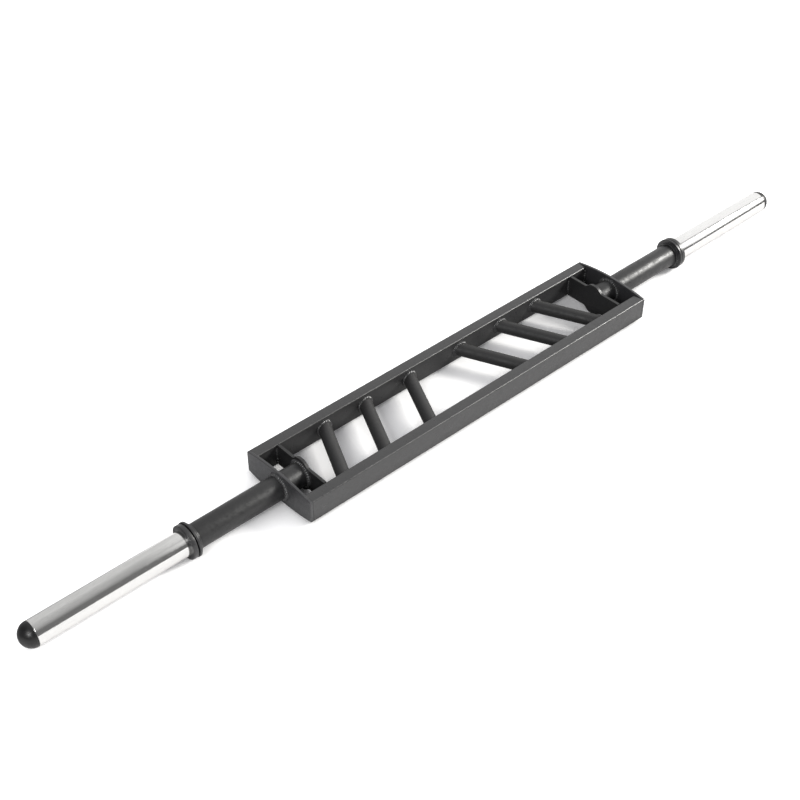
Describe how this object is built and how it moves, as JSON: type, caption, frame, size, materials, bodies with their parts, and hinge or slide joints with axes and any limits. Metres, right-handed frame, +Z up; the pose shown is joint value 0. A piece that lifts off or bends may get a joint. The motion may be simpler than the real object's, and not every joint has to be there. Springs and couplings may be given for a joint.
{
  "type": "swiss bar",
  "caption": "Barbell with a flat welded frame of slanted hand grips between box rails, and a turning chrome sleeve with a stop ring and a domed cap at each end for weight plates.",
  "frame": {"origin": "on the floor below the middle of the bar, which stands on the flats of its two lower gusset humps", "axes": "+X along the bar from the left to the right sleeve, +Y across the frame from the front to the rear rail, +Z up"},
  "size_m": [2.02, 0.19, 0.0718],
  "materials": {
    "charcoal_powder_coat": "satin charcoal powder coat with a fine grain",
    "painted_weld": "rippled weld bead under the same powder coat",
    "collar_powder_coat": "satin dark grey powder coat",
    "sleeve_chrome": "bright chrome plate over ground steel tube",
    "turned_steel": "bare turned steel",
    "bronze": "oiled bearing bronze",
    "black_plastic": "moulded black plastic, satin"
  },
  "bodies": {
    "frame": {"front_rail": "charcoal_powder_coat", "rear_rail": "charcoal_powder_coat", "left_end_plate": "charcoal_powder_coat", "left_gusset": "charcoal_powder_coat", "left_inner_grip": "charcoal_powder_coat", "left_inner_grip_front_weld": "painted_weld", "left_inner_grip_rear_weld": "painted_weld", "left_middle_grip": "charcoal_powder_coat", "left_middle_grip_front_weld": "painted_weld", "left_middle_grip_rear_weld": "painted_weld", "left_outer_grip": "charcoal_powder_coat", "left_outer_grip_front_weld": "painted_weld", "left_outer_grip_rear_weld": "painted_weld", "left_shaft": "charcoal_powder_coat", "left_shaft_gusset_weld": "painted_weld", "left_shaft_inner_weld": "painted_weld", "left_shaft_outer_weld": "painted_weld", "left_shoulder_ring": "collar_powder_coat", "left_spindle": "turned_steel", "left_thrust_washer": "bronze", "left_end_washer": "turned_steel", "left_end_bolt": "turned_steel", "right_end_plate": "charcoal_powder_coat", "right_gusset": "charcoal_powder_coat", "right_inner_grip": "charcoal_powder_coat", "right_inner_grip_front_weld": "painted_weld", "right_inner_grip_rear_weld": "painted_weld", "right_middle_grip": "charcoal_powder_coat", "right_middle_grip_front_weld": "painted_weld", "right_middle_grip_rear_weld": "painted_weld", "right_outer_grip": "charcoal_powder_coat", "right_outer_grip_front_weld": "painted_weld", "right_outer_grip_rear_weld": "painted_weld", "right_shaft": "charcoal_powder_coat", "right_shaft_gusset_weld": "painted_weld", "right_shaft_inner_weld": "painted_weld", "right_shaft_outer_weld": "painted_weld", "right_shoulder_ring": "collar_powder_coat", "right_spindle": "turned_steel", "right_thrust_washer": "bronze", "right_end_washer": "turned_steel", "right_end_bolt": "turned_steel"},
    "left_sleeve_assembly": {"left_sleeve": "sleeve_chrome", "left_stop_ring": "collar_powder_coat", "left_inner_bush": "bronze", "left_outer_bush": "bronze", "left_end_cap": "black_plastic"},
    "right_sleeve_assembly": {"right_sleeve": "sleeve_chrome", "right_stop_ring": "collar_powder_coat", "right_inner_bush": "bronze", "right_outer_bush": "bronze", "right_end_cap": "black_plastic"}
  },
  "joints": [
    {"name": "left_sleeve_spin", "type": "hinge", "parent": "frame", "child": "left_sleeve_assembly", "pos_m": [-0.8265, 0, 0.0359], "axis": [1, 0, 0], "continuous": true},
    {"name": "right_sleeve_spin", "type": "hinge", "parent": "frame", "child": "right_sleeve_assembly", "pos_m": [0.8265, 0, 0.0359], "axis": [1, 0, 0], "continuous": true}
  ]
}
